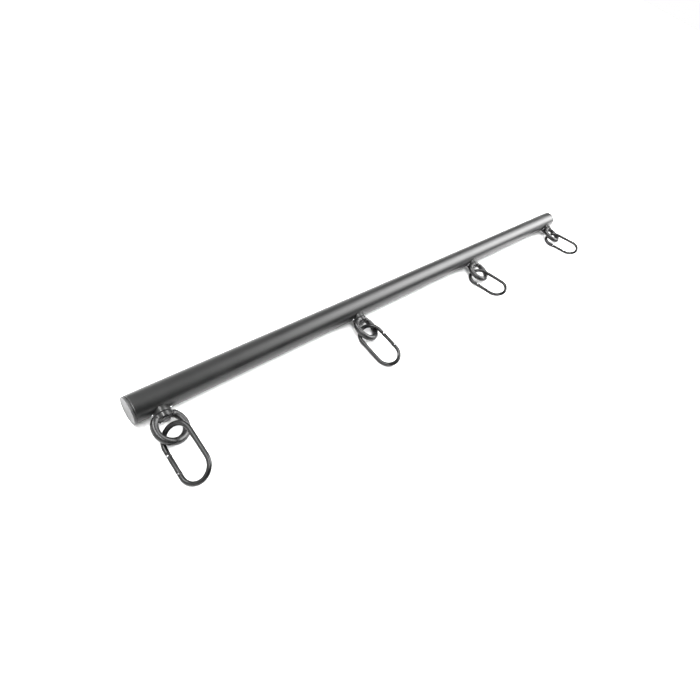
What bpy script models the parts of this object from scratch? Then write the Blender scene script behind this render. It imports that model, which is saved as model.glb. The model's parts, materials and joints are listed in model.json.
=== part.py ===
"""Spreader bar: a round steel tube with four swivel eyes in line and a spring-gate snap hook in each eye.

Metres, +Z up. The tube lies along X with its underside on z = 0 and its middle over the origin. The eyes
point towards -Y and droop until they nearly touch the surface that the bar lies on.
Each eye is modelled in its own frame: +Z points radially out of the tube, +X runs along the bar.
Each hook is modelled in its own frame: +X runs from the eye to the free end, +Y across, +Z out of its plane.
"""

import math

import bmesh
import bpy
from mathutils import Euler, Matrix, Vector

MM = 0.001
GAP = 0.3 * MM  # clearance between neighbouring solids
EDGE = 0.8 * MM  # chamfer on turned edges
THROUGH = 2 * MM  # how far a cutter runs past what it cuts

# Bar
BAR_LENGTH = 1000 * MM
TUBE_RADIUS = 17 * MM
TUBE_WALL = 2.5 * MM
TUBE_SEGMENTS = 48
CAP_RADIUS = TUBE_RADIUS - 0.1 * MM
CAP_FLANGE = 2 * MM
CAP_CHAMFER = 0.5 * MM
CAP_PLUG_LENGTH = 12 * MM
CAP_PLUG_WALL = 2 * MM
CAP_RIB_HEIGHT = 0.5 * MM

# Eyes
EYE_COUNT = 4
END_MARGIN = 30 * MM  # bar end to the nearest eye
EYE_DROOP = math.radians(9.5)  # below the horizontal
RING_CENTRE = 38 * MM  # from the tube's axis
RING_RADIUS = 17.75 * MM  # to the middle of the ring's round section
RING_SECTION = 4.5 * MM
COLLAR_RADIUS = 10.5 * MM
COLLAR_TOP = 20.5 * MM
BOSS_RADIUS = 10 * MM
BOSS_SEAT = 24.6 * MM  # flat that the bolt's washer rests on
BOSS_RIM = 26.4 * MM
WASHER_RADIUS = 8.2 * MM
WASHER_THICKNESS = 0.6 * MM
BOLT_RADIUS = 4 * MM
BOLT_TIP = 5.2 * MM
BOLT_CHAMFER = 1 * MM
HEAD_ACROSS_FLATS = 15 * MM
HEAD_HEIGHT = 3.6 * MM

# Blind rivet nuts
NUT_RADIUS = 5.7 * MM
NUT_FLANGE_RADIUS = 7.5 * MM
NUT_FLANGE_TOP = 18.4 * MM
NUT_BULB_RADIUS = 7.2 * MM
NUT_BULB = (8.6 * MM, 11.6 * MM)
NUT_END = 3 * MM
NUT_CRIMP = 0.5 * MM  # the far end of the body is this much slimmer

# Snap hooks
HOOK_HALF_LENGTH = 36 * MM  # to the middle of the wire
HOOK_HALF_WIDTH = 18 * MM
WIRE_RADIUS = 3 * MM
PIVOT_X = -10 * MM  # gate pivot, along the gate's leg
HINGE_SHOULDER_X = PIVOT_X - WIRE_RADIUS - GAP
NOSE_SHOULDER_X = 16.4 * MM
LATCH_X = 13.5 * MM
TONGUE_HALF_THICKNESS = 1.1 * MM
TONGUE_RADIUS = 2.5 * MM
NOSE_TONGUE_TIP_X = 11.9 * MM
NOSE_TONGUE_HALF_HEIGHT = 2.3 * MM
RIVET_RADIUS = 1.1 * MM
LATCH_RADIUS = 0.8 * MM
PIN_HALF_LENGTH = 2.75 * MM
GATE_BORE_RADIUS = 1.7 * MM
GATE_BORE_END_X = 8 * MM
PLUNGER_LENGTH = 2.7 * MM
SPRING_COILS = 5

# How each station lies at rest: the ring's turn on its bolt, the hook's centre (along the bar from its
# eye, across, up), the hook's heading, pitch and roll, and whether the hook is turned over
STATIONS = (
    {"swivel": -15.5, "centre": (-3.6, -74.6, 15.0), "turn": (-92.0, 0.0, 41.2), "over": False},
    {"swivel": -15.5, "centre": (-1.0, -70.4, 8.3), "turn": (-88.0, 3.0, 13.3), "over": True},
    {"swivel": -4.0, "centre": (-9.4, -67.3, 13.0), "turn": (-89.0, -10.3, 19.0), "over": False},
    {"swivel": -7.0, "centre": (-8.9, -70.2, 13.0), "turn": (-87.0, -9.6, 20.4), "over": False},
)


def clear_scene():
    for old in list(bpy.data.objects):
        bpy.data.objects.remove(old, do_unlink=True)


def make_material(name, colour, roughness, metallic):
    material = bpy.data.materials.new(name)
    material.use_nodes = True
    shader = material.node_tree.nodes["Principled BSDF"]
    shader.inputs["Base Color"].default_value = (*colour, 1.0)
    shader.inputs["Roughness"].default_value = roughness
    shader.inputs["Metallic"].default_value = metallic
    return material


def mesh_from(bm, name):
    bmesh.ops.remove_doubles(bm, verts=bm.verts[:], dist=1e-7)
    bmesh.ops.recalc_face_normals(bm, faces=bm.faces[:])
    mesh = bpy.data.meshes.new(name)
    bm.to_mesh(mesh)
    bm.free()
    return mesh


def lathe(profile, segments, closed=False):
    """Turns (radius, height) points about Z. An open profile starts and ends on the axis; a closed one is a ring."""
    bm = bmesh.new()
    verts = [bm.verts.new((radius, 0, height)) for radius, height in profile]
    edges = [bm.edges.new(pair) for pair in zip(verts, verts[1:])]
    if closed:
        edges.append(bm.edges.new((verts[-1], verts[0])))
    bmesh.ops.spin(bm, geom=verts + edges, cent=(0, 0, 0), axis=(0, 0, 1), angle=math.tau, steps=segments)
    return mesh_from(bm, "lathe")


def cylinder(radius, low, high, segments, axis="Z", at=(0, 0, 0)):
    """A closed cylinder from low to high along X or Z, set at a point."""
    mesh = lathe([(0, low), (radius, low), (radius, high), (0, high)], segments)
    turn = Matrix.Rotation(math.pi / 2, 4, "Y") if axis == "X" else Matrix()
    mesh.transform(Matrix.Translation(at) @ turn)
    return mesh


def box(low, high):
    bm = bmesh.new()
    bmesh.ops.create_cube(bm, size=1)
    size = Vector(high) - Vector(low)
    bmesh.ops.scale(bm, vec=size, verts=bm.verts[:])
    bmesh.ops.translate(bm, vec=Vector(low) + size / 2, verts=bm.verts[:])
    return mesh_from(bm, "box")


def combine(mesh, *steps):
    """Applies Boolean steps, each (operation, cutter mesh), and returns the finished mesh."""
    for operation, cutter_mesh in steps:
        target = bpy.data.objects.new("target", mesh)
        cutter = bpy.data.objects.new("cutter", cutter_mesh)
        for part in (target, cutter):
            bpy.context.scene.collection.objects.link(part)
        modifier = target.modifiers.new("cut", "BOOLEAN")
        modifier.operation = operation
        modifier.object = cutter
        modifier.solver = "EXACT"
        evaluated = target.evaluated_get(bpy.context.evaluated_depsgraph_get())
        mesh = bpy.data.meshes.new_from_object(evaluated)
        bpy.data.objects.remove(target, do_unlink=True)
        bpy.data.objects.remove(cutter, do_unlink=True)
    return mesh


def add(name, data, matrix, parent=None):
    """Adds an object at a place in the world; data None makes an empty. A child keeps that place."""
    item = bpy.data.objects.new(name, data)
    bpy.context.scene.collection.objects.link(item)
    item.matrix_world = matrix
    if parent:
        bpy.context.view_layer.update()
        item.parent = parent
        item.matrix_parent_inverse = parent.matrix_world.inverted()
    return item


def place(name, mesh, matrix, material, parent=None):
    """Adds a smooth-shaded piece."""
    if not mesh.materials:
        mesh.materials.append(material)
    mesh.shade_smooth()
    mesh.set_sharp_from_angle(angle=math.radians(35))
    return add(name, mesh, matrix, parent)


def tube_mesh(eye_frames):
    """The main tube, open at both ends, with a cross hole for each rivet nut."""
    half = BAR_LENGTH / 2 - CAP_FLANGE - GAP
    inner = TUBE_RADIUS - TUBE_WALL
    wall = [(inner, -half), (TUBE_RADIUS, -half), (TUBE_RADIUS, half), (inner, half)]
    mesh = lathe(wall, TUBE_SEGMENTS, closed=True)
    mesh.transform(Matrix.Rotation(math.pi / TUBE_SEGMENTS, 4, "Z"))
    mesh.transform(Matrix.Rotation(math.pi / 2, 4, "Y"))
    mesh.transform(Matrix.Translation((0, 0, axis_height())))
    for frame in eye_frames:
        hole = cylinder(NUT_RADIUS + GAP, NUT_END, TUBE_RADIUS + THROUGH, 20)
        hole.transform(frame)
        mesh = combine(mesh, ("DIFFERENCE", hole))
    return mesh


def cap_mesh():
    """An end cap in its own frame: outer face at z = 0 facing +Z, hollow plug running to -Z with two ribs."""
    plug = TUBE_RADIUS - TUBE_WALL - GAP
    core = plug - CAP_RIB_HEIGHT
    bottom = -CAP_FLANGE - CAP_PLUG_LENGTH
    rib = CAP_PLUG_LENGTH / 5
    profile = [(0, 0), (CAP_RADIUS - CAP_CHAMFER, 0), (CAP_RADIUS, -CAP_CHAMFER), (CAP_RADIUS, -CAP_FLANGE)]
    profile.append((core, -CAP_FLANGE))
    for first in (1, 3):
        start = -CAP_FLANGE - first * rib
        profile += [(core, start), (plug, start - rib / 4), (core, start - rib)]
    hollow = core - CAP_PLUG_WALL
    profile += [(core, bottom), (hollow, bottom), (hollow, -CAP_FLANGE), (0, -CAP_FLANGE)]
    return lathe(profile, 28)


def nut_mesh():
    """A blind rivet nut: flange outside the tube wall, set bulb inside it, closed end."""
    bore = BOLT_RADIUS + GAP
    bulb_low, bulb_high = NUT_BULB
    body = NUT_RADIUS - NUT_CRIMP
    floor = BOLT_TIP - 3 * GAP
    profile = [
        (0, NUT_END),
        (body, NUT_END),
        (body, bulb_low),
        (NUT_BULB_RADIUS, (bulb_low + bulb_high) / 2),
        (NUT_RADIUS, bulb_high),
        (NUT_RADIUS, TUBE_RADIUS + GAP),
        (NUT_FLANGE_RADIUS, TUBE_RADIUS + GAP),
        (NUT_FLANGE_RADIUS, NUT_FLANGE_TOP),
        (bore, NUT_FLANGE_TOP),
        (bore, floor),
        (0, floor),
    ]
    return lathe(profile, 16)


def collar_mesh():
    """The saddle collar under an eye: flat on top, recessed for the nut's flange, curved to sit on the tube."""
    bore = BOLT_RADIUS + GAP
    recess = NUT_FLANGE_RADIUS + GAP
    profile = [
        (recess, TUBE_RADIUS / 2),
        (COLLAR_RADIUS, TUBE_RADIUS / 2),
        (COLLAR_RADIUS, COLLAR_TOP - EDGE),
        (COLLAR_RADIUS - EDGE, COLLAR_TOP),
        (bore, COLLAR_TOP),
        (bore, NUT_FLANGE_TOP + GAP),
        (recess, NUT_FLANGE_TOP + GAP),
    ]
    reach = 2 * COLLAR_RADIUS
    saddle = (TUBE_RADIUS + GAP) / math.cos(math.pi / TUBE_SEGMENTS)
    tube = cylinder(saddle, -reach, reach, TUBE_SEGMENTS, "X")
    return combine(lathe(profile, 24, closed=True), ("DIFFERENCE", tube))


def head_corner_radius():
    return HEAD_ACROSS_FLATS / 2 / math.cos(math.pi / 6)


def eye_mesh():
    """The swivel eye: a round-section ring that carries a drilled boss with a flat seat for the bolt."""
    section = 10
    profile = [
        (RING_RADIUS + RING_SECTION * math.cos(turn), RING_SECTION * math.sin(turn))
        for turn in (math.tau * (step + 0.5) / section for step in range(section))
    ]
    ring = lathe(profile, 32, closed=True)
    ring.transform(Matrix.Translation((0, 0, RING_CENTRE)) @ Matrix.Rotation(math.pi / 2, 4, "X"))
    base = COLLAR_TOP + GAP
    boss_profile = [
        (0, base),
        (BOSS_RADIUS - EDGE, base),
        (BOSS_RADIUS, base + EDGE),
        (BOSS_RADIUS, BOSS_RIM - 2 * EDGE),
        (BOSS_RADIUS - EDGE, BOSS_RIM),
        (0, BOSS_RIM),
    ]
    below = box((-2 * RING_RADIUS, -2 * RING_RADIUS, 0), (2 * RING_RADIUS, 2 * RING_RADIUS, base))
    seat = cylinder(head_corner_radius() + 2 * GAP, BOSS_SEAT, RING_CENTRE, 24)
    drill = cylinder(BOLT_RADIUS + GAP, 0, RING_CENTRE, 16)
    with_boss = combine(ring, ("UNION", lathe(boss_profile, 24)))
    return combine(with_boss, ("DIFFERENCE", below), ("DIFFERENCE", seat), ("DIFFERENCE", drill))


def washer_mesh():
    low = BOSS_SEAT + GAP
    high = low + WASHER_THICKNESS
    bore = BOLT_RADIUS + GAP
    return lathe([(bore, low), (WASHER_RADIUS, low), (WASHER_RADIUS, high), (bore, high)], 20, closed=True)


def bolt_mesh():
    """The swivel bolt: hexagon head inside the ring, with a pair of flats facing out of the ring's plane."""
    under_head = BOSS_SEAT + 2 * GAP + WASHER_THICKNESS
    top = under_head + HEAD_HEIGHT
    shank = lathe(
        [
            (0, BOLT_TIP),
            (BOLT_RADIUS - BOLT_CHAMFER, BOLT_TIP),
            (BOLT_RADIUS, BOLT_TIP + BOLT_CHAMFER),
            (BOLT_RADIUS, top - HEAD_HEIGHT / 2),
            (0, top - HEAD_HEIGHT / 2),
        ],
        16,
    )
    corner = head_corner_radius()
    head = cylinder(corner, under_head, top, 6)
    shoulder = [(corner, top - BOLT_CHAMFER), (corner - BOLT_CHAMFER, top)]
    crown = lathe([(0, under_head), (corner, under_head), *shoulder, (0, top)], 24)
    return combine(shank, ("UNION", combine(head, ("INTERSECT", crown))))


def hook_path():
    """Middle of the hook's wire, from the hinge shoulder round the eye end to the nose shoulder."""
    straight = HOOK_HALF_LENGTH - HOOK_HALF_WIDTH
    arc_steps = 10
    points = [Vector((HINGE_SHOULDER_X, -HOOK_HALF_WIDTH, 0))]
    for centre_x, first in ((-straight, -math.pi / 2), (straight, math.pi / 2)):
        for step in range(arc_steps + 1):
            turn = first - math.pi * step / arc_steps
            x = centre_x + HOOK_HALF_WIDTH * math.cos(turn)
            points.append(Vector((x, HOOK_HALF_WIDTH * math.sin(turn), 0)))
    points.append(Vector((NOSE_SHOULDER_X, -HOOK_HALF_WIDTH, 0)))
    return points


def sweep(points, radius, sides):
    """A round wire along a flat path, with mitred joints and closed ends."""
    bm = bmesh.new()
    loops = []
    for index, point in enumerate(points):
        before = (point - points[index - 1]).normalized() if index else None
        after = (points[index + 1] - point).normalized() if index + 1 < len(points) else None
        tangent = ((before or after) + (after or before)).normalized()
        side = tangent.cross(Vector((0, 0, 1)))
        stretch = 1 / max(0.5, tangent.dot(after or before))
        loop = []
        for step in range(sides):
            turn = math.tau * (step + 0.5) / sides
            offset = side * (radius * stretch * math.cos(turn)) + Vector((0, 0, radius * math.sin(turn)))
            loop.append(bm.verts.new(point + offset))
        loops.append(loop)
    for near, far in zip(loops, loops[1:]):
        for step in range(sides):
            following = (step + 1) % sides
            bm.faces.new((near[step], near[following], far[following], far[step]))
    bm.faces.new(loops[0])
    bm.faces.new(loops[-1])
    return mesh_from(bm, "sweep")


def gate_line(x):
    """A point on the gate's centreline."""
    return (x, -HOOK_HALF_WIDTH, 0)


def slab(low_x, high_x, half_height, half_thickness):
    """A flat block along the gate's centreline."""
    middle = -HOOK_HALF_WIDTH
    return box((low_x, middle - half_height, -half_thickness), (high_x, middle + half_height, half_thickness))


def hook_mesh():
    """The hook's body: bent wire with a drilled hinge tongue and a notched nose tongue."""
    thin = TONGUE_HALF_THICKNESS
    buried = 1 * MM
    hinge = combine(
        slab(HINGE_SHOULDER_X - buried, PIVOT_X, TONGUE_RADIUS, thin),
        ("UNION", cylinder(TONGUE_RADIUS, -thin, thin, 20, at=gate_line(PIVOT_X))),
        ("DIFFERENCE", cylinder(RIVET_RADIUS + GAP, -2 * thin, 2 * thin, 12, at=gate_line(PIVOT_X))),
    )
    notch = LATCH_RADIUS + GAP
    mouth = box((LATCH_X - notch, -HOOK_HALF_WIDTH, -2 * thin), (LATCH_X + notch, 0, 2 * thin))
    nose = combine(
        slab(NOSE_TONGUE_TIP_X, NOSE_SHOULDER_X + buried, NOSE_TONGUE_HALF_HEIGHT, thin),
        ("DIFFERENCE", cylinder(notch, -2 * thin, 2 * thin, 12, at=gate_line(LATCH_X))),
        ("DIFFERENCE", mouth),
    )
    return combine(sweep(hook_path(), WIRE_RADIUS, 10), ("UNION", hinge), ("UNION", nose))


def gate_mesh():
    """The gate: a bar forked at both ends, bored for its spring, rounded about its pivot."""
    slot = TONGUE_HALF_THICKNESS + GAP
    wide = 2 * WIRE_RADIUS
    low = PIVOT_X - WIRE_RADIUS
    high = NOSE_SHOULDER_X - GAP
    hinge_slot_end = PIVOT_X + TONGUE_RADIUS + 2 * GAP
    heel = combine(
        box((low - wide, -HOOK_HALF_WIDTH - wide, -wide), (PIVOT_X, -HOOK_HALF_WIDTH + wide, wide)),
        ("DIFFERENCE", cylinder(WIRE_RADIUS, -2 * wide, 2 * wide, 24, at=gate_line(PIVOT_X))),
    )
    return combine(
        cylinder(WIRE_RADIUS, low, high, 12, "X", gate_line(0)),
        ("DIFFERENCE", heel),
        ("DIFFERENCE", slab(low - wide, hinge_slot_end, wide, slot)),
        ("DIFFERENCE", slab(NOSE_TONGUE_TIP_X - 2 * GAP, high + wide, wide, slot)),
        ("DIFFERENCE", cylinder(GATE_BORE_RADIUS, PIVOT_X, GATE_BORE_END_X, 8, "X", gate_line(0))),
        ("DIFFERENCE", cylinder(RIVET_RADIUS + GAP, -wide, wide, 12, at=gate_line(PIVOT_X))),
        ("DIFFERENCE", cylinder(LATCH_RADIUS + GAP, -wide, wide, 8, at=gate_line(LATCH_X))),
    )


def pin_mesh(x, radius):
    """A flush cross pin through the gate."""
    return cylinder(radius, -PIN_HALF_LENGTH, PIN_HALF_LENGTH, 12, at=gate_line(x))


def plunger_span():
    start = PIVOT_X + TONGUE_RADIUS + GAP
    return start, start + PLUNGER_LENGTH


def plunger_mesh():
    """The spring's plunger, which presses on the hinge tongue."""
    start, end = plunger_span()
    radius = GATE_BORE_RADIUS - GAP
    mesh = lathe([(0, start), (radius / 2, start), (radius, start + radius / 2), (radius, end), (0, end)], 8)
    mesh.transform(Matrix.Translation(gate_line(0)) @ Matrix.Rotation(math.pi / 2, 4, "Y"))
    return mesh


def spring_mesh():
    """The gate spring as one ribbed rod with a rib for each coil."""
    start = plunger_span()[1] + GAP
    end = GATE_BORE_END_X - GAP
    pitch = (end - start) / SPRING_COILS
    outer = GATE_BORE_RADIUS - GAP
    root = outer * 0.7
    profile = [(0, start), (root, start)]
    for coil in range(SPRING_COILS):
        profile += [(outer, start + (coil + 0.5) * pitch), (root, start + (coil + 1) * pitch)]
    profile.append((0, end))
    mesh = lathe(profile, 8)
    mesh.transform(Matrix.Translation(gate_line(0)) @ Matrix.Rotation(math.pi / 2, 4, "Y"))
    return mesh


def axis_height():
    """Height of the tube's axis when one of its flats lies on z = 0."""
    return TUBE_RADIUS * math.cos(math.pi / TUBE_SEGMENTS)


def eye_frame(index):
    """Frame of one eye: origin on the tube's axis, +Z out of the tube and slightly down, +X along the bar."""
    first = END_MARGIN - BAR_LENGTH / 2
    spacing = (BAR_LENGTH - 2 * END_MARGIN) / (EYE_COUNT - 1)
    turn = Matrix.Rotation(math.pi / 2 + EYE_DROOP, 4, "X")
    return Matrix.Translation((first + index * spacing, 0, axis_height())) @ turn


def hook_frame(index):
    """Frame of one hook at rest."""
    station = STATIONS[index]
    heading, pitch, roll = (math.radians(angle) for angle in station["turn"])
    along, across, up = (value * MM for value in station["centre"])
    middle = Vector((eye_frame(index).translation.x + along, across, up))
    turned_over = Matrix.Rotation(math.pi if station["over"] else 0, 4, "X")
    return Matrix.Translation(middle) @ Euler((roll, pitch, heading)).to_matrix().to_4x4() @ turned_over


def build():
    clear_scene()
    black_coat = make_material("black_powder_coat", (0.018, 0.018, 0.019), 0.42, 0.0)
    cap_plastic = make_material("cap_plastic", (0.03, 0.03, 0.032), 0.35, 0.0)
    black_ring = make_material("black_ring_steel", (0.03, 0.03, 0.032), 0.3, 0.9)
    black_hook = make_material("black_hook_steel", (0.02, 0.02, 0.021), 0.22, 0.9)
    zinc = make_material("bright_zinc", (0.62, 0.63, 0.65), 0.2, 1.0)
    nylon = make_material("black_nylon", (0.025, 0.025, 0.026), 0.5, 0.0)
    spring_steel = make_material("spring_steel", (0.5, 0.5, 0.5), 0.3, 1.0)

    frames = [eye_frame(index) for index in range(EYE_COUNT)]
    tube = place("tube", tube_mesh(frames), Matrix(), black_coat)
    cap = cap_mesh()
    for name, end in (("end_cap_near", -1), ("end_cap_far", 1)):
        at = Matrix.Translation((end * BAR_LENGTH / 2, 0, axis_height()))
        place(name, cap, at @ Matrix.Rotation(end * math.pi / 2, 4, "Y"), cap_plastic, tube)

    fixed_pieces = (
        ("rivet_nut", nut_mesh(), zinc),
        ("collar", collar_mesh(), black_ring),
        ("glide_washer", washer_mesh(), nylon),
        ("swivel_bolt", bolt_mesh(), black_ring),
    )
    gate_pieces = (
        ("hook_gate", gate_mesh(), black_hook),
        ("latch_pin", pin_mesh(LATCH_X, LATCH_RADIUS), zinc),
        ("gate_plunger", plunger_mesh(), spring_steel),
        ("gate_spring", spring_mesh(), spring_steel),
    )
    eye = eye_mesh()
    hook = hook_mesh()
    rivet = pin_mesh(PIVOT_X, RIVET_RADIUS)
    for index, frame in enumerate(frames):
        number = index + 1
        for name, mesh, material in fixed_pieces:
            place(f"{name}_{number}", mesh, frame, material, tube)
        turned = frame @ Matrix.Rotation(math.radians(STATIONS[index]["swivel"]), 4, "Z")
        swivel_eye = place(f"swivel_eye_{number}", eye, turned, black_ring, tube)
        centre = turned @ Matrix.Translation((0, 0, RING_CENTRE))
        ring_centre = add(f"ring_centre_{number}", None, centre, swivel_eye)
        lie = hook_frame(index)
        hook_body = place(f"hook_body_{number}", hook, lie, black_hook, ring_centre)
        place(f"gate_rivet_{number}", rivet, lie, zinc, hook_body)
        pivot = add(f"gate_pivot_{number}", None, lie @ Matrix.Translation(gate_line(PIVOT_X)), hook_body)
        for name, mesh, material in gate_pieces:
            place(f"{name}_{number}", mesh, lie, material, pivot)


build()
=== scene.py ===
"""Looks of the spreader bar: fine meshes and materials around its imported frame.

Lengths are in metres, in the frame of the CAD. Each eye is built about its ring's centre, with +Z pointing
out of the tube and +Y along the ring's axis. What is bolted to the tube under it is built about the tube's
axis, with +Z out of the tube and +X along the bar. Each snap hook is built about its own centre, with +X
pointing from the eye to the free end and +Z out of its plane.
"""

import json
import math

import bmesh
import bpy
import numpy as np
from mathutils import Matrix, Vector


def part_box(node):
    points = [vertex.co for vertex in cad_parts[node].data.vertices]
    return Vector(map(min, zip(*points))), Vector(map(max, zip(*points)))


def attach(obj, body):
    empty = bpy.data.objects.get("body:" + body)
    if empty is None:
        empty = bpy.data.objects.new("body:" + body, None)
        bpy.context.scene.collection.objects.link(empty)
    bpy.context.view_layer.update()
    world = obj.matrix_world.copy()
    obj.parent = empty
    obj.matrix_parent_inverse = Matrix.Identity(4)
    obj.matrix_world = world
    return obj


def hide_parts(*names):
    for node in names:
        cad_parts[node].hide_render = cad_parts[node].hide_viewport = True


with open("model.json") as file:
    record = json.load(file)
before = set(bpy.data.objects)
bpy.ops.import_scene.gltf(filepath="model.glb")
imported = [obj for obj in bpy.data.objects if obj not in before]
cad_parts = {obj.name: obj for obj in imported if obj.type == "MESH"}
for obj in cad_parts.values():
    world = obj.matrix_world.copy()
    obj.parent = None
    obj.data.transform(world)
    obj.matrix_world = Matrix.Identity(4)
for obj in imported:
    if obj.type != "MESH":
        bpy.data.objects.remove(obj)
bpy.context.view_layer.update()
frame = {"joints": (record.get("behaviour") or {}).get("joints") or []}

MM = 0.001
STATIONS = (1, 2, 3, 4)

# Tube and caps
CAP_FLANGE = 2 * MM
GROOVE_FROM_END = 4.2 * MM
GROOVE_DEPTH = 0.25 * MM
TUBE_WALL = 2.5 * MM

# Eyes, measured from the tube's axis
RING_CENTRE = 38 * MM
RING_RADIUS = 17.75 * MM
RING_SECTION = 4.5 * MM
COLLAR_TOP = 20.5 * MM
BOSS_BASE = 20.8 * MM
BOSS_RIM = 26.4 * MM
BOSS_RADIUS = 10 * MM
BOSS_SEAT = 24.6 * MM
SEAT_RADIUS = 9.25 * MM
WASHER_BASE = 24.9 * MM
HEAD_BASE = 25.8 * MM
HEAD_HEIGHT = 3.6 * MM
HEAD_ACROSS_FLATS = 15 * MM
BOLT_RADIUS = 4 * MM
BORE_RADIUS = 4.3 * MM

# Snap hooks
HALF_LENGTH = 36 * MM
HALF_WIDTH = 18 * MM
WIRE_RADIUS = 3 * MM
PIVOT_X = -10 * MM
LATCH_X = 13.5 * MM
HINGE_SHOULDER_X = -13.3 * MM
NOSE_SHOULDER_X = 16.4 * MM
RIVET_RADIUS = 1.1 * MM
RIVET_HOLE_RADIUS = 1.18 * MM
LATCH_RADIUS = 0.8 * MM
LATCH_HOLE_RADIUS = 0.88 * MM


# ---------------------------------------------------------------- mesh tools


def to_mesh(bm, name):
    bmesh.ops.remove_doubles(bm, verts=bm.verts[:], dist=1e-7)
    bmesh.ops.recalc_face_normals(bm, faces=bm.faces[:])
    mesh = bpy.data.meshes.new(name)
    bm.to_mesh(mesh)
    bm.free()
    return mesh


def rounded(corners, closed=False, steps=5):
    """Corners are (radius, height) or (radius, height, fillet). Fillets become arcs."""
    points = []
    count = len(corners)
    for index, corner in enumerate(corners):
        here = Vector(corner[:2])
        fillet = corner[2] if len(corner) > 2 else 0
        inner = closed or 0 < index < count - 1
        if not fillet or not inner:
            points.append(here)
            continue
        to_last = (Vector(corners[index - 1][:2]) - here).normalized()
        to_next = (Vector(corners[(index + 1) % count][:2]) - here).normalized()
        half = to_last.angle(to_next) / 2
        centre = here + (to_last + to_next).normalized() * (fillet / math.sin(half))
        spoke = here + to_last * (fillet / math.tan(half)) - centre
        sweep_angle = (math.pi - 2 * half) * (1 if to_last.cross(to_next) < 0 else -1)
        for step in range(steps + 1):
            points.append(centre + Matrix.Rotation(sweep_angle * step / steps, 2) @ spoke)
    return points


def lathe(corners, segments=72, closed=False, steps=5):
    """Turns a filleted outline about Z."""
    bm = bmesh.new()
    verts = [bm.verts.new((point.x, 0, point.y)) for point in rounded(corners, closed, steps)]
    edges = [bm.edges.new(pair) for pair in zip(verts, verts[1:])]
    if closed:
        edges.append(bm.edges.new((verts[-1], verts[0])))
    bmesh.ops.spin(bm, geom=verts + edges, cent=(0, 0, 0), axis=(0, 0, 1), angle=math.tau, steps=segments)
    return to_mesh(bm, "lathe")


def cylinder(radius, low, high, segments=64, along_x=False, at=(0, 0, 0)):
    mesh = lathe([(0, low), (radius, low), (radius, high), (0, high)], segments)
    turn = Matrix.Rotation(math.pi / 2, 4, "Y") if along_x else Matrix()
    mesh.transform(Matrix.Translation(at) @ turn)
    return mesh


def box(low, high):
    bm = bmesh.new()
    bmesh.ops.create_cube(bm, size=1)
    size = Vector(high) - Vector(low)
    bmesh.ops.scale(bm, vec=size, verts=bm.verts[:])
    bmesh.ops.translate(bm, vec=Vector(low) + size / 2, verts=bm.verts[:])
    return to_mesh(bm, "box")


def applied(mesh, set_up):
    """The mesh as one modifier leaves it. set_up adds the modifier to the object it is given."""
    holder = bpy.data.objects.new("holder", mesh)
    bpy.context.scene.collection.objects.link(holder)
    set_up(holder)
    evaluated = holder.evaluated_get(bpy.context.evaluated_depsgraph_get())
    result = bpy.data.meshes.new_from_object(evaluated)
    bpy.data.objects.remove(holder, do_unlink=True)
    return result


def combine(mesh, *steps):
    """Applies Boolean steps, each (operation, mesh)."""
    for operation, other in steps:
        cutter = bpy.data.objects.new("cutter", other)
        bpy.context.scene.collection.objects.link(cutter)

        def set_up(holder):
            modifier = holder.modifiers.new("cut", "BOOLEAN")
            modifier.operation = operation
            modifier.object = cutter
            modifier.solver = "EXACT"

        mesh = applied(mesh, set_up)
        bpy.data.objects.remove(cutter, do_unlink=True)
    return mesh


def bevelled(mesh, width, angle=35, segments=2):
    """Rounds the sharp edges slightly, so that they catch the light."""

    def set_up(holder):
        modifier = holder.modifiers.new("round", "BEVEL")
        modifier.width = width
        modifier.segments = segments
        modifier.limit_method = "ANGLE"
        modifier.angle_limit = math.radians(angle)
        modifier.use_clamp_overlap = True

    return applied(mesh, set_up)


def remeshed(mesh, voxel):
    def set_up(holder):
        modifier = holder.modifiers.new("voxels", "REMESH")
        modifier.mode = "VOXEL"
        modifier.voxel_size = voxel

    return applied(mesh, set_up)


def sweep(points, radius, sides):
    """A round wire along a path with no sharp turns, with flat ends square to the path."""
    bm = bmesh.new()
    loops = []
    side = None
    for index, point in enumerate(points):
        ahead = points[min(index + 1, len(points) - 1)] - points[max(index - 1, 0)]
        tangent = ahead.normalized()
        if side is None:
            side = tangent.orthogonal().normalized()
        side = (side - tangent * side.dot(tangent)).normalized()
        up = tangent.cross(side)
        loop = []
        for step in range(sides):
            turn = math.tau * (step + 0.5) / sides
            at = point + side * radius * math.cos(turn) + up * radius * math.sin(turn)
            loop.append(bm.verts.new(at))
        loops.append(loop)
    for near, far in zip(loops, loops[1:]):
        for step in range(sides):
            following = (step + 1) % sides
            bm.faces.new((near[step], near[following], far[following], far[step]))
    bm.faces.new(loops[0])
    bm.faces.new(loops[-1])
    return to_mesh(bm, "sweep")


def show(name, mesh, matrix, body, material, nodes, sharp=38):
    """Adds a piece that rides on a body and stands for CAD nodes."""
    piece = bpy.data.objects.new(name, mesh)
    bpy.context.scene.collection.objects.link(piece)
    piece.matrix_world = matrix
    mesh.materials.clear()
    mesh.materials.append(material)
    mesh.shade_smooth()
    mesh.set_sharp_from_angle(angle=math.radians(sharp))
    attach(piece, body)
    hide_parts(*nodes)


# ---------------------------------------------------------------- materials

RANGE_SOCKETS = ("From Min", "From Max", "To Min", "To Max")


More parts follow.
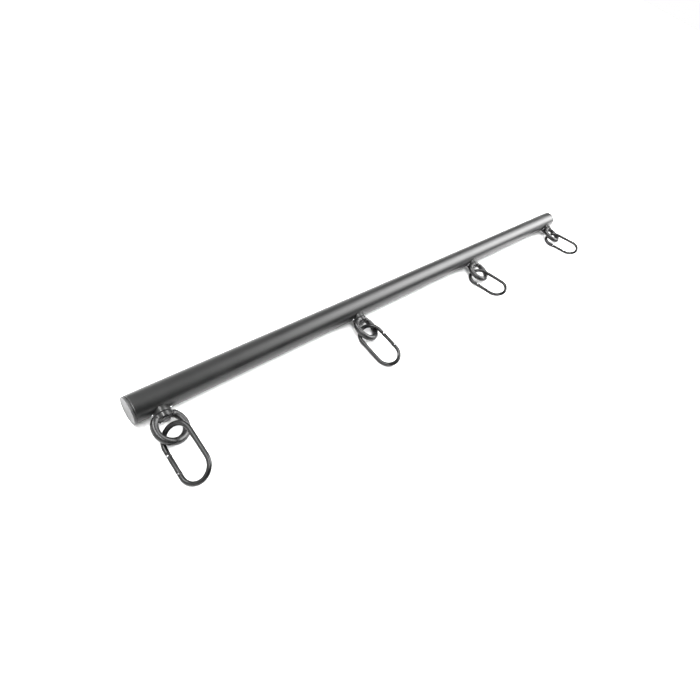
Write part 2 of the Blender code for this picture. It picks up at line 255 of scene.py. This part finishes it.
class Finish:
    """A Principled material and short ways to wire noise into it."""

    def __init__(self, name, **sockets):
        self.material = bpy.data.materials.new(name)
        self.material.use_nodes = True
        self.nodes = self.material.node_tree.nodes
        self.links = self.material.node_tree.links
        self.shader = self.nodes["Principled BSDF"]
        for socket, value in sockets.items():
            self.shader.inputs[socket.replace("_", " ")].default_value = value
        self.place = self.nodes.new("ShaderNodeTexCoord").outputs["Object"]

    def stretched(self, scale):
        mapping = self.nodes.new("ShaderNodeMapping")
        mapping.inputs["Scale"].default_value = scale
        self.links.new(self.place, mapping.inputs["Vector"])
        return mapping.outputs["Vector"]

    def noise(self, size, detail=3, roughness=0.5, stretch=None):
        """Noise whose grains are about size metres across."""
        texture = self.nodes.new("ShaderNodeTexNoise")
        texture.inputs["Scale"].default_value = 1 / size
        texture.inputs["Detail"].default_value = detail
        texture.inputs["Roughness"].default_value = roughness
        self.links.new(self.stretched(stretch) if stretch else self.place, texture.inputs["Vector"])
        return texture.outputs["Fac"]

    def scaled(self, value, from_low, from_high, to_low, to_high):
        remap = self.nodes.new("ShaderNodeMapRange")
        for socket, number in zip(RANGE_SOCKETS, (from_low, from_high, to_low, to_high)):
            remap.inputs[socket].default_value = number
        self.links.new(value, remap.inputs["Value"])
        return remap.outputs["Result"]

    def colours(self, value, low, high, start=0.35, end=0.65):
        ramp = self.nodes.new("ShaderNodeValToRGB")
        ramp.color_ramp.elements[0].position = start
        ramp.color_ramp.elements[0].color = (*low, 1)
        ramp.color_ramp.elements[1].position = end
        ramp.color_ramp.elements[1].color = (*high, 1)
        self.links.new(value, ramp.inputs["Fac"])
        self.links.new(ramp.outputs["Color"], self.shader.inputs["Base Color"])

    def roughness(self, value, low, high):
        self.links.new(self.scaled(value, 0.3, 0.7, low, high), self.shader.inputs["Roughness"])

    def bump(self, *layers):
        """Each layer is (value, depth in metres)."""
        normal = None
        for value, depth in layers:
            bump = self.nodes.new("ShaderNodeBump")
            bump.inputs["Strength"].default_value = 1
            bump.inputs["Distance"].default_value = depth
            self.links.new(value, bump.inputs["Height"])
            if normal:
                self.links.new(normal, bump.inputs["Normal"])
            normal = bump.outputs["Normal"]
        self.links.new(normal, self.shader.inputs["Normal"])


def powder_coat():
    """Satin black powder coat: a fine orange peel and a faintly uneven sheen."""
    finish = Finish("powder_coat", Metallic=0.0, IOR=1.4)
    peel = finish.noise(1.1 * MM, 2)
    grain = finish.noise(0.35 * MM, 2)
    patches = finish.noise(45 * MM, 4)
    finish.colours(patches, (0.005, 0.0052, 0.0052), (0.008, 0.0082, 0.0081))
    finish.roughness(patches, 0.29, 0.34)
    finish.bump((peel, 0.008 * MM), (grain, 0.003 * MM))
    return finish.material


def cap_plastic():
    """Moulded black polyethylene: fine spark texture, rubbed a little lighter in places."""
    finish = Finish("cap_plastic", Metallic=0.0, IOR=1.5)
    spark = finish.noise(0.3 * MM, 4, 0.7)
    rub = finish.noise(9 * MM, 5, 0.6)
    finish.colours(rub, (0.022, 0.0222, 0.0226), (0.034, 0.0342, 0.035))
    finish.roughness(rub, 0.34, 0.46)
    finish.bump((spark, 0.006 * MM))
    return finish.material


def ring_steel():
    """Forged steel with a satin black coat: shallow forging waves under the coat's own grain."""
    finish = Finish("ring_steel", Metallic=0.0, IOR=1.42)
    waves = finish.noise(6 * MM, 2)
    grain = finish.noise(0.5 * MM, 4, 0.65)
    wear = finish.noise(3.5 * MM, 6, 0.7)
    finish.colours(wear, (0.005, 0.0051, 0.0052), (0.012, 0.0121, 0.0124), 0.4, 0.75)
    finish.roughness(wear, 0.22, 0.31)
    finish.bump((waves, 0.05 * MM), (grain, 0.006 * MM))
    return finish.material


def hook_steel():
    """Drawn wire with a glossy black coat: faint waves and small handling marks."""
    finish = Finish("hook_steel", Metallic=0.0, IOR=1.4)
    marks = finish.noise(1.6 * MM, 6, 0.7)
    waves = finish.noise(4 * MM, 2)
    finish.colours(marks, (0.003, 0.003, 0.0031), (0.006, 0.006, 0.0061), 0.45, 0.8)
    finish.roughness(marks, 0.08, 0.13)
    finish.bump((waves, 0.012 * MM), (marks, 0.002 * MM))
    return finish.material


def bright_zinc():
    """Bright zinc plate: turned rings and a faint grey mottle."""
    finish = Finish("bright_zinc", Metallic=1.0)
    mottle = finish.noise(1.8 * MM, 5, 0.6)
    lines = finish.noise(0.25 * MM, 2, stretch=(0.15, 0.15, 1))
    finish.colours(mottle, (0.56, 0.575, 0.6), (0.74, 0.745, 0.75))
    finish.roughness(mottle, 0.16, 0.27)
    finish.bump((lines, 0.002 * MM), (mottle, 0.004 * MM))
    return finish.material


def nylon():
    """Black nylon with a dull, slightly cloudy skin."""
    finish = Finish("nylon", Metallic=0.0, IOR=1.5)
    cloud = finish.noise(2 * MM, 4)
    finish.colours(cloud, (0.014, 0.014, 0.0146), (0.026, 0.026, 0.0268))
    finish.roughness(cloud, 0.45, 0.58)
    finish.bump((finish.noise(0.3 * MM, 3), 0.004 * MM))
    return finish.material


def spring_steel():
    """Drawn spring wire, left bare."""
    finish = Finish("spring_steel", Metallic=1.0)
    tint = finish.noise(1.2 * MM, 4)
    finish.colours(tint, (0.42, 0.42, 0.43), (0.56, 0.56, 0.56))
    finish.roughness(tint, 0.24, 0.34)
    finish.bump((finish.noise(0.15 * MM, 2), 0.002 * MM))
    return finish.material


# ---------------------------------------------------------------- where things are


def joint(name):
    return next(item for item in frame["joints"] if item["name"] == name)


def axes(x, y, z, origin):
    """A placing matrix from three unit vectors and an origin."""
    return Matrix.Translation(origin) @ Matrix((x, y, z)).transposed().to_4x4()


def ring_frame(station):
    """Origin at the ring's centre, +Z out of the tube, +Y along the ring's axis."""
    z = Vector(joint(f"eye_swivel_{station}")["axis"]).normalized()
    turn = joint(f"hook_turn_{station}")
    y = Vector(turn["axis"])
    y = (y - z * y.dot(z)).normalized()
    return axes(y.cross(z), y, z, Vector(turn["pos_m"]))


def seat_frame(station):
    """Origin where the eye's axis meets the tube's, +Z out of the tube, +X along the bar."""
    ring = ring_frame(station)
    z = ring.col[2].to_3d()
    x = Vector((1, 0, 0))
    return axes(x, z.cross(x), z, ring.translation - z * RING_CENTRE)


def hook_frame(station):
    """Origin at the hook's centre, +X towards its free end, +Z along the gate's pivot."""
    gate = joint(f"gate_open_{station}")
    pivot = Vector(gate["pos_m"])
    z = Vector(gate["axis"]).normalized()
    low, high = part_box(f"latch_pin_{station}")
    x = (low + high) / 2 - pivot
    x = (x - z * x.dot(z)).normalized()
    y = z.cross(x)
    return axes(x, y, z, pivot - x * PIVOT_X + y * HALF_WIDTH)


TUBE_LOW, TUBE_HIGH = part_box("tube")
TUBE_RADIUS = (TUBE_HIGH.z - TUBE_LOW.z) / 2
BAR_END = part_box("end_cap_far")[1].x


# ---------------------------------------------------------------- bar


def tube_mesh():
    """The tube, with a rolled groove near each end."""
    inner = TUBE_RADIUS - TUBE_WALL
    edge = 0.35 * MM
    half_groove = 0.55 * MM
    beside_eye = 9 * MM

    def groove(at):
        return [
            (TUBE_RADIUS, at - half_groove, edge),
            (TUBE_RADIUS - GROOVE_DEPTH, at, edge / 2),
            (TUBE_RADIUS, at + half_groove, edge),
        ]

    outline = [(inner, TUBE_LOW.x), (TUBE_RADIUS, TUBE_LOW.x, edge), *groove(GROOVE_FROM_END - BAR_END)]
    for station in STATIONS:
        at = ring_frame(station).translation.x
        outline += [(TUBE_RADIUS, at - beside_eye), (TUBE_RADIUS, at + beside_eye)]
    outline += [*groove(BAR_END - GROOVE_FROM_END), (TUBE_RADIUS, TUBE_HIGH.x, edge), (inner, TUBE_HIGH.x)]
    mesh = lathe(outline, 144, closed=True, steps=3)
    mesh.transform(Matrix.Rotation(math.pi / 2, 4, "Y"))
    mesh.transform(Matrix.Translation((0, 0, TUBE_RADIUS)))
    return mesh


def cap_mesh():
    """An end cap with its outer face at z = 0: raised rim, dished face, hollow ribbed plug."""
    outer = TUBE_RADIUS - 0.05 * MM
    plug = TUBE_RADIUS - TUBE_WALL - 0.8 * MM
    dished = outer - 1.3 * MM
    dish = 0.35 * MM
    hollow = plug - 2 * MM
    roof = -CAP_FLANGE - dish
    depth = 14 * MM
    rib = 0.5 * MM
    rib_starts = (4.2 * MM, 9 * MM)
    outline = [
        (0, -dish),
        (dished, -dish, 0.25 * MM),
        (dished + dish, 0, 0.12 * MM),
        (outer, 0, 0.55 * MM),
        (outer, -CAP_FLANGE, 0.15 * MM),
        (plug, -CAP_FLANGE, 0.1 * MM),
    ]
    for start in rib_starts:
        outline += [(plug, -start), (plug + rib, -start - rib, 0.1 * MM), (plug, -start - 4 * rib)]
    outline += [
        (plug, -depth, 0.4 * MM),
        (hollow, -depth, 0.2 * MM),
        (hollow, roof, 0.4 * MM),
        (0, roof),
    ]
    return lathe(outline, 120, steps=4)


def make_bar(coat, plastic):
    show("bar_tube", tube_mesh(), Matrix(), "bar", coat, ["tube"], sharp=50)
    for name, node, side in (("cap_near", "end_cap_near", -1), ("cap_far", "end_cap_far", 1)):
        facing = Matrix.Rotation(side * math.pi / 2, 4, "Y")
        at = Matrix.Translation((side * BAR_END, 0, TUBE_RADIUS)) @ facing
        show(name, cap_mesh(), at, "bar", plastic, [node])


# ---------------------------------------------------------------- eyes


def eye_field(p):
    """Signed distance to the eye about the ring's centre: ring and boss run together in a soft fillet."""
    blend = 2.4 * MM
    edge = 0.8 * MM
    ring = np.hypot(np.hypot(p[:, 0], p[:, 2]) - RING_RADIUS, p[:, 1]) - RING_SECTION
    low, high = BOSS_BASE - 2 * MM - RING_CENTRE, BOSS_RIM - RING_CENTRE
    across = np.hypot(p[:, 0], p[:, 1]) - (BOSS_RADIUS - edge)
    along = np.abs(p[:, 2] - (low + high) / 2) - ((high - low) / 2 - edge)
    outside = np.hypot(np.maximum(across, 0), np.maximum(along, 0))
    boss = outside + np.minimum(np.maximum(across, along), 0) - edge
    mix = np.clip(0.5 + (boss - ring) / (2 * blend), 0, 1)
    joined = boss * (1 - mix) + ring * mix - blend * mix * (1 - mix)
    base = BOSS_BASE - RING_CENTRE - p[:, 2]
    mix = np.clip(0.5 - (base - joined) / (2 * edge), 0, 1)
    return base * (1 - mix) + joined * mix + edge * mix * (1 - mix)


def settle(mesh, field, rounds=6):
    """Moves every vertex onto the surface where the field is zero."""
    p = np.empty(len(mesh.vertices) * 3)
    mesh.vertices.foreach_get("co", p)
    p = p.reshape(-1, 3)
    small = 0.01 * MM
    least_slope = 0.05
    for _ in range(rounds):
        steps = np.eye(3) * small
        slope = np.stack([(field(p + step) - field(p - step)) / (2 * small) for step in steps], 1)
        p = p - slope * (field(p) / np.maximum((slope**2).sum(1), least_slope))[:, None]
    mesh.vertices.foreach_set("co", p.ravel())
    mesh.update()


def eye_mesh():
    """The ring and its boss in one skin, with a seat for the bolt's washer and a bore for its shank."""
    voxel = 0.38 * MM
    sides = 40
    section = [
        (RING_RADIUS + RING_SECTION * math.cos(turn), RING_SECTION * math.sin(turn))
        for turn in (math.tau * step / sides for step in range(sides))
    ]
    ring = lathe(section, 120, closed=True)
    ring.transform(Matrix.Rotation(math.pi / 2, 4, "X"))
    base = BOSS_BASE - RING_CENTRE
    boss = cylinder(BOSS_RADIUS, base - 2 * MM, BOSS_RIM - RING_CENTRE)
    reach = 2 * RING_RADIUS
    below = box((-reach, -reach, -2 * reach), (reach, reach, base))
    mesh = remeshed(combine(ring, ("UNION", boss), ("DIFFERENCE", below)), voxel)
    settle(mesh, eye_field)
    floor, rim = BOSS_SEAT - RING_CENTRE, BOSS_RIM - RING_CENTRE
    mouth = SEAT_RADIUS + 0.4 * MM
    seat = lathe(
        [
            (0, floor),
            (SEAT_RADIUS, floor, 0.3 * MM),
            (SEAT_RADIUS, rim - 0.3 * MM, 0.3 * MM),
            (mouth, rim + 0.2 * MM),
            (mouth, 0),
            (0, 0),
        ],
        96,
    )
    bore = cylinder(BORE_RADIUS, -RING_CENTRE, 0)
    return combine(mesh, ("DIFFERENCE", seat), ("DIFFERENCE", bore))


def nut_mesh():
    """A blind rivet nut: set bulb inside the wall, flange and a strip along the bar under the collar."""
    end, end_radius = 3 * MM, 5.2 * MM
    bore_end = 4.3 * MM
    bulb_radius, bulb_low, bulb_middle, bulb_high = 7.1 * MM, 8.4 * MM, 10.1 * MM, 11.8 * MM
    body_radius = 5.65 * MM
    flange_radius, flange_low, flange_high = 7.4 * MM, TUBE_RADIUS + 0.34 * MM, 18.35 * MM
    crimp = 0.3 * MM
    outline = [
        (0, end),
        (end_radius, end, 0.4 * MM),
        (end_radius, bulb_low, crimp),
        (bulb_radius, bulb_middle, 0.5 * MM),
        (body_radius, bulb_high, crimp),
        (body_radius, flange_low, 0.1 * MM),
        (flange_radius, flange_low, 0.3 * MM),
        (flange_radius, flange_high, 0.3 * MM),
        (BORE_RADIUS, flange_high),
        (BORE_RADIUS, bore_end),
        (0, bore_end),
    ]
    half_length, half_width = 12 * MM, 2.7 * MM
    foot = TUBE_RADIUS + 0.1 * MM
    thickness = 1.1 * MM
    strip = box((-half_length, -half_width, foot), (half_length, half_width, foot + thickness))
    bore = cylinder(BORE_RADIUS, 0, 2 * TUBE_RADIUS)
    strip = combine(bevelled(strip, 0.4 * MM, segments=3), ("DIFFERENCE", bore))
    return combine(lathe(outline, 64, steps=3), ("UNION", strip))


def collar_mesh():
    """The saddle collar: a turned disc with a rounded rim, hollowed to sit on the tube."""
    outer = 10.4 * MM
    recess = 7.8 * MM
    floor = 18.7 * MM
    tube_gap = 0.32 * MM
    outline = [
        (recess, TUBE_RADIUS / 2),
        (outer, TUBE_RADIUS / 2),
        (outer, COLLAR_TOP, 0.7 * MM),
        (BORE_RADIUS, COLLAR_TOP, 0.2 * MM),
        (BORE_RADIUS, floor),
        (recess, floor),
    ]
    disc = lathe(outline, 96, closed=True, steps=6)
    tube = cylinder(TUBE_RADIUS + tube_gap, -3 * outer, 3 * outer, 144, along_x=True)
    return bevelled(combine(disc, ("DIFFERENCE", tube)), 0.12 * MM)


def washer_mesh():
    outer, thickness = 8.1 * MM, 0.6 * MM
    edge = 0.15 * MM
    low, high = WASHER_BASE, WASHER_BASE + thickness
    outline = [(BORE_RADIUS, low), (outer, low, edge), (outer, high, edge), (BORE_RADIUS, high)]
    return lathe(outline, 64, closed=True, steps=3)


def bolt_mesh():
    """Hexagon bolt: rounded corners, a chamfered crown with a shallow dish, a chamfered shank."""
    top = HEAD_BASE + HEAD_HEIGHT
    corner = HEAD_ACROSS_FLATS / 2 / math.cos(math.pi / 6)
    prism = bevelled(cylinder(corner, HEAD_BASE, top, 6), 0.35 * MM, segments=3)
    flat = HEAD_ACROSS_FLATS / 2 - 0.4 * MM
    slope = math.tan(math.radians(28))
    dish, dish_rim, dish_floor = 0.25 * MM, 4.6 * MM, 4 * MM
    well_out = 2 * corner
    below = HEAD_BASE - 1 * MM
    crown = [
        (0, below),
        (well_out, below),
        (well_out, top - (well_out - flat) * slope),
        (flat, top, 0.3 * MM),
        (dish_rim, top, 0.4 * MM),
        (dish_floor, top - dish, 0.4 * MM),
        (0, top - dish),
    ]
    head = combine(prism, ("INTERSECT", lathe(crown, 96)))
    tip, chamfer = 5.2 * MM, 1 * MM
    inside_head = HEAD_BASE + 0.5 * MM
    shank = lathe(
        [
            (0, tip),
            (BOLT_RADIUS - chamfer, tip, 0.1 * MM),
            (BOLT_RADIUS, tip + chamfer, 0.1 * MM),
            (BOLT_RADIUS, inside_head),
            (0, inside_head),
        ],
        48,
    )
    return combine(head, ("UNION", shank))


def make_eyes(ring_finish, coat, zinc, washer_finish):
    eye, bolt = eye_mesh(), bolt_mesh()
    nut, collar, washer = nut_mesh(), collar_mesh(), washer_mesh()
    for station in STATIONS:
        ring = ring_frame(station)
        seat = seat_frame(station)
        fixed = (
            ("nut", nut, seat, zinc, "bright_zinc", "rivet_nut"),
            ("collar_ring", collar, seat, coat, "black_ring_steel", "collar"),
            ("washer", washer, seat, washer_finish, "black_nylon", "glide_washer"),
            ("bolt", bolt, seat, ring_finish, "black_ring_steel", "swivel_bolt"),
        )
        for name, mesh, matrix, finish, slot, node in fixed:
            show(f"{name}_{station}", mesh, matrix, "bar", finish, [f"{node}_{station}"])
        nodes = [f"swivel_eye_{station}"]
        show(f"eye_{station}", eye, ring, f"eye_{station}", ring_finish, nodes)


# ---------------------------------------------------------------- snap hooks


def on_gate(x):
    """A point on the middle of the gate's leg."""
    return (x, -HALF_WIDTH, 0)


def hook_path(steps=44):
    """Middle of the hook's wire, from the hinge shoulder round the eye end to the nose shoulder."""
    straight = HALF_LENGTH - HALF_WIDTH
    points = [on_gate(HINGE_SHOULDER_X), on_gate(HINGE_SHOULDER_X - 1 * MM)]
    for centre_x, first in ((-straight, -math.pi / 2), (straight, math.pi / 2)):
        for step in range(steps + 1):
            turn = first - math.pi * step / steps
            points.append((centre_x + HALF_WIDTH * math.cos(turn), HALF_WIDTH * math.sin(turn), 0))
    points += [on_gate(NOSE_SHOULDER_X + 0.4 * MM), on_gate(NOSE_SHOULDER_X)]
    return [Vector(point) for point in points]


def slab(low_x, high_x, half_height, half_thickness):
    """A flat block along the gate's leg."""
    return box(
        (low_x, -HALF_WIDTH - half_height, -half_thickness),
        (high_x, -HALF_WIDTH + half_height, half_thickness),
    )


def hook_mesh():
    """Bent wire with chamfered shoulders, a drilled hinge tongue and a notched nose tongue."""
    thin = 1.05 * MM
    rooted = 1 * MM
    eye_radius = 2.45 * MM
    hinge = combine(
        slab(HINGE_SHOULDER_X - rooted, PIVOT_X, eye_radius, thin),
        ("UNION", cylinder(eye_radius, -thin, thin, 48, at=on_gate(PIVOT_X))),
        ("DIFFERENCE", cylinder(RIVET_HOLE_RADIUS, -2 * thin, 2 * thin, 32, at=on_gate(PIVOT_X))),
    )
    nose_tip, nose_half_height = 12 * MM, 2.25 * MM
    notch = 1.1 * MM
    mouth = box((LATCH_X - notch, -HALF_WIDTH, -2 * thin), (LATCH_X + notch, 0, 2 * thin))
    nose = combine(
        slab(nose_tip, NOSE_SHOULDER_X + rooted, nose_half_height, thin),
        ("DIFFERENCE", cylinder(notch, -2 * thin, 2 * thin, 32, at=on_gate(LATCH_X))),
        ("DIFFERENCE", mouth),
    )
    edge = 0.15 * MM
    wire = bevelled(sweep(hook_path(), WIRE_RADIUS, 48), 0.35 * MM, angle=60, segments=3)
    return combine(wire, ("UNION", bevelled(hinge, edge)), ("UNION", bevelled(nose, edge)))


def gate_mesh():
    """The gate: a bar forked at both ends, bored for its spring, rounded about its pivot."""
    half_slot = 1.4 * MM
    hinge_slot_end = PIVOT_X + 3.1 * MM
    nose_slot_start = 11.3 * MM
    spring_bore_radius, spring_bore_end = 1.7 * MM, 8 * MM
    wide = 6 * MM
    radius = 2.95 * MM
    low = PIVOT_X - WIRE_RADIUS
    high = NOSE_SHOULDER_X - 0.45 * MM
    bar = lathe([(0, low), (radius, low), (radius, high, 0.4 * MM), (0, high)], 48, steps=3)
    bar.transform(Matrix.Translation(on_gate(0)) @ Matrix.Rotation(math.pi / 2, 4, "Y"))
    heel = combine(
        box((low - wide, -HALF_WIDTH - wide, -wide), (PIVOT_X, -HALF_WIDTH + wide, wide)),
        ("DIFFERENCE", cylinder(WIRE_RADIUS, -2 * wide, 2 * wide, 64, at=on_gate(PIVOT_X))),
    )
    cut = combine(
        bar,
        ("DIFFERENCE", heel),
        ("DIFFERENCE", slab(low - wide, hinge_slot_end, wide, half_slot)),
        ("DIFFERENCE", slab(nose_slot_start, high + wide, wide, half_slot)),
        ("DIFFERENCE", cylinder(spring_bore_radius, PIVOT_X, spring_bore_end, 32, True, on_gate(0))),
        ("DIFFERENCE", cylinder(RIVET_HOLE_RADIUS, -wide, wide, 32, at=on_gate(PIVOT_X))),
        ("DIFFERENCE", cylinder(LATCH_HOLE_RADIUS, -wide, wide, 24, at=on_gate(LATCH_X))),
    )
    return bevelled(cut, 0.12 * MM, angle=40)


def pin_mesh(x, radius, half_length):
    """A cross pin with domed, peened ends."""
    dome = radius * 0.45
    edge = half_length - 0.1 * MM
    outline = [(0, -half_length), (radius, -edge, dome), (radius, edge, dome), (0, half_length)]
    mesh = lathe(outline, 32, steps=4)
    mesh.transform(Matrix.Translation(on_gate(x)))
    return mesh


def plunger_mesh():
    """A round plunger, its end rounded towards the hinge, between the hinge tongue and the spring."""
    low, high = -7.2 * MM, -4.5 * MM
    radius = 1.3 * MM
    outline = [(0, low), (radius, low, 0.6 * MM), (radius, high, 0.1 * MM), (0, high)]
    mesh = lathe(outline, 24, steps=4)
    mesh.transform(Matrix.Translation(on_gate(0)) @ Matrix.Rotation(math.pi / 2, 4, "Y"))
    return mesh


def spring_mesh():
    """A wound compression spring, its coils closer towards both ends."""
    start, end = -4.2 * MM, 7.7 * MM
    wire = 0.24 * MM
    coil = 1.1 * MM
    turns = 8
    per_turn = 18
    slack = 1.6  # 1 would bring the pitch to nothing at both ends
    points = []
    for step in range(turns * per_turn + 1):
        share = step / (turns * per_turn)
        travelled = share - math.sin(math.tau * share) / (math.tau * slack)
        turn = math.tau * turns * share
        x = start + wire + (end - start - 2 * wire) * travelled
        points.append(Vector((x, -HALF_WIDTH + coil * math.cos(turn), coil * math.sin(turn))))
    return sweep(points, wire, 8)


def make_hooks(gloss, zinc, spring_finish):
    body, gate = hook_mesh(), gate_mesh()
    rivet = pin_mesh(PIVOT_X, RIVET_RADIUS, 3 * MM)
    latch = pin_mesh(LATCH_X, LATCH_RADIUS, 2.7 * MM)
    plunger, spring = plunger_mesh(), spring_mesh()
    for station in STATIONS:
        place = hook_frame(station)
        pieces = (
            ("hook", body, "hook", gloss, "black_hook_steel", "hook_body"),
            ("rivet", rivet, "hook", zinc, "bright_zinc", "gate_rivet"),
            ("gate_bar", gate, "gate", gloss, "black_hook_steel", "hook_gate"),
            ("latch", latch, "gate", zinc, "bright_zinc", "latch_pin"),
            ("plunger", plunger, "gate", spring_finish, "spring_steel", "gate_plunger"),
            ("spring", spring, "gate", spring_finish, "spring_steel", "gate_spring"),
        )
        for name, mesh, carrier, finish, slot, node in pieces:
            nodes = [f"{node}_{station}"]
            show(f"{name}_{station}", mesh, place, f"{carrier}_{station}", finish, nodes)


# ---------------------------------------------------------------- studio


def make_floor():
    """White paper, just below the bar."""
    half_size = 7
    below_bar = 0.05 * MM
    cloud_size = 0.3
    bm = bmesh.new()
    bmesh.ops.create_grid(bm, x_segments=8, y_segments=8, size=half_size)
    floor = bpy.data.objects.new("floor", to_mesh(bm, "floor"))
    bpy.context.scene.collection.objects.link(floor)
    floor.location.z = -below_bar
    finish = Finish("floor_paper", Metallic=0.0, Roughness=0.9)
    finish.colours(finish.noise(cloud_size, 2), (0.83, 0.83, 0.83), (0.85, 0.85, 0.85))
    floor.data.materials.append(finish.material)


def make_studio():
    """A soft white room with a softbox and a narrow strip light. The camera sees it as plain white.

    A direction's turn is its angle about the bar: 0 overhead, positive towards -Y. Its reach is its X.
    The softbox is low, beyond the bar's far end, and turns more towards the eyes as its reach grows.
    The strip crosses the bar a little nearer than overhead, and draws the bright lines on the hooks.
    """
    softbox_strength, strip_strength = 18, 32
    softbox_turn, softbox_far_turn = math.radians(15), math.radians(36)
    strip_reach, strip_turn = -0.22, math.radians(-14)

    world = bpy.data.worlds.new("studio")
    bpy.context.scene.world = world
    world.use_nodes = True
    nodes, links = world.node_tree.nodes, world.node_tree.links
    background = nodes["Background"]
    direction = nodes.new("ShaderNodeTexCoord").outputs["Generated"]
    split = nodes.new("ShaderNodeSeparateXYZ")
    links.new(direction, split.inputs["Vector"])

    def math_node(operation, *values):
        node = nodes.new("ShaderNodeMath")
        node.operation = operation
        for socket, value in zip(node.inputs, values):
            if isinstance(value, (int, float)):
                socket.default_value = value
            else:
                links.new(value, socket)
        return node.outputs[0]

    def off(value, middle):
        """How far a value is from its middle."""
        return math_node("ABSOLUTE", math_node("SUBTRACT", value, middle))

    def eased(value, low, high, out_low, out_high):
        node = nodes.new("ShaderNodeMapRange")
        node.interpolation_type = "SMOOTHSTEP"
        for socket, number in zip(RANGE_SOCKETS, (low, high, out_low, out_high)):
            node.inputs[socket].default_value = number
        links.new(value, node.inputs["Value"])
        return node.outputs["Result"]

    reach = split.outputs["X"]
    turn = math_node("ARCTAN2", math_node("MULTIPLY", split.outputs["Y"], -1), split.outputs["Z"])

    overhead = eased(turn, math.radians(0), math.radians(60), 0.85, 0.02)
    back_wall = eased(turn, math.radians(-75), math.radians(-25), 0.4, 0)
    far_wall = eased(reach, 0.55, 0.95, 1, 0.2)
    near_wall = eased(reach, -0.8, -0.1, 0.8, 0)
    over_and_back = math_node("ADD", overhead, back_wall)
    room = math_node("ADD", math_node("MULTIPLY", over_and_back, far_wall), near_wall)

    middle = eased(reach, 0.82, 0.9, softbox_turn, softbox_far_turn)
    sides = eased(off(turn, middle), math.radians(6), math.radians(58), 1, 0)
    near_end = eased(reach, 0.3, 0.85, 0, 1)
    far_end = eased(reach, 0.82, 0.9, 1, 0.5)
    softbox = math_node("MULTIPLY", math_node("MULTIPLY", sides, near_end), far_end)

    across = eased(off(reach, strip_reach), 0.06, 0.1, 1, 0)
    length = eased(off(turn, strip_turn), 0.5, 0.9, 1, 0)
    strip = math_node("MULTIPLY", math_node("MULTIPLY", across, length), strip_strength)

    light = math_node("ADD", room, strip)
    light = math_node("ADD", light, math_node("MULTIPLY", softbox, softbox_strength))
    seen = nodes.new("ShaderNodeLightPath").outputs["Is Camera Ray"]
    unseen = math_node("SUBTRACT", 1, seen)
    links.new(math_node("ADD", math_node("MULTIPLY", light, unseen), seen), background.inputs["Strength"])
    background.inputs["Color"].default_value = (1, 1, 1, 1)
    bpy.context.scene.view_settings.view_transform = "Standard"


def make_camera():
    """Above and beyond the near end, looking down along the bar."""
    position = Vector((-0.599, -0.2635, 0.4956))
    target = Vector((-0.1996, -0.0523, 0))
    roll = math.radians(26.47)
    data = bpy.data.cameras.new("camera")
    data.sensor_width = 36
    data.lens = 23.54
    data.clip_start = 0.01
    camera = bpy.data.objects.new("camera", data)
    bpy.context.scene.collection.objects.link(camera)
    facing = (target - position).to_track_quat("-Z", "Y").to_matrix().to_4x4()
    camera.matrix_world = Matrix.Translation(position) @ facing @ Matrix.Rotation(roll, 4, "Z")
    bpy.context.scene.camera = camera


zinc = bright_zinc()
coat = powder_coat()
make_bar(coat, cap_plastic())
make_eyes(ring_steel(), coat, zinc, nylon())
make_hooks(hook_steel(), zinc, spring_steel())
make_floor()
make_studio()
make_camera()
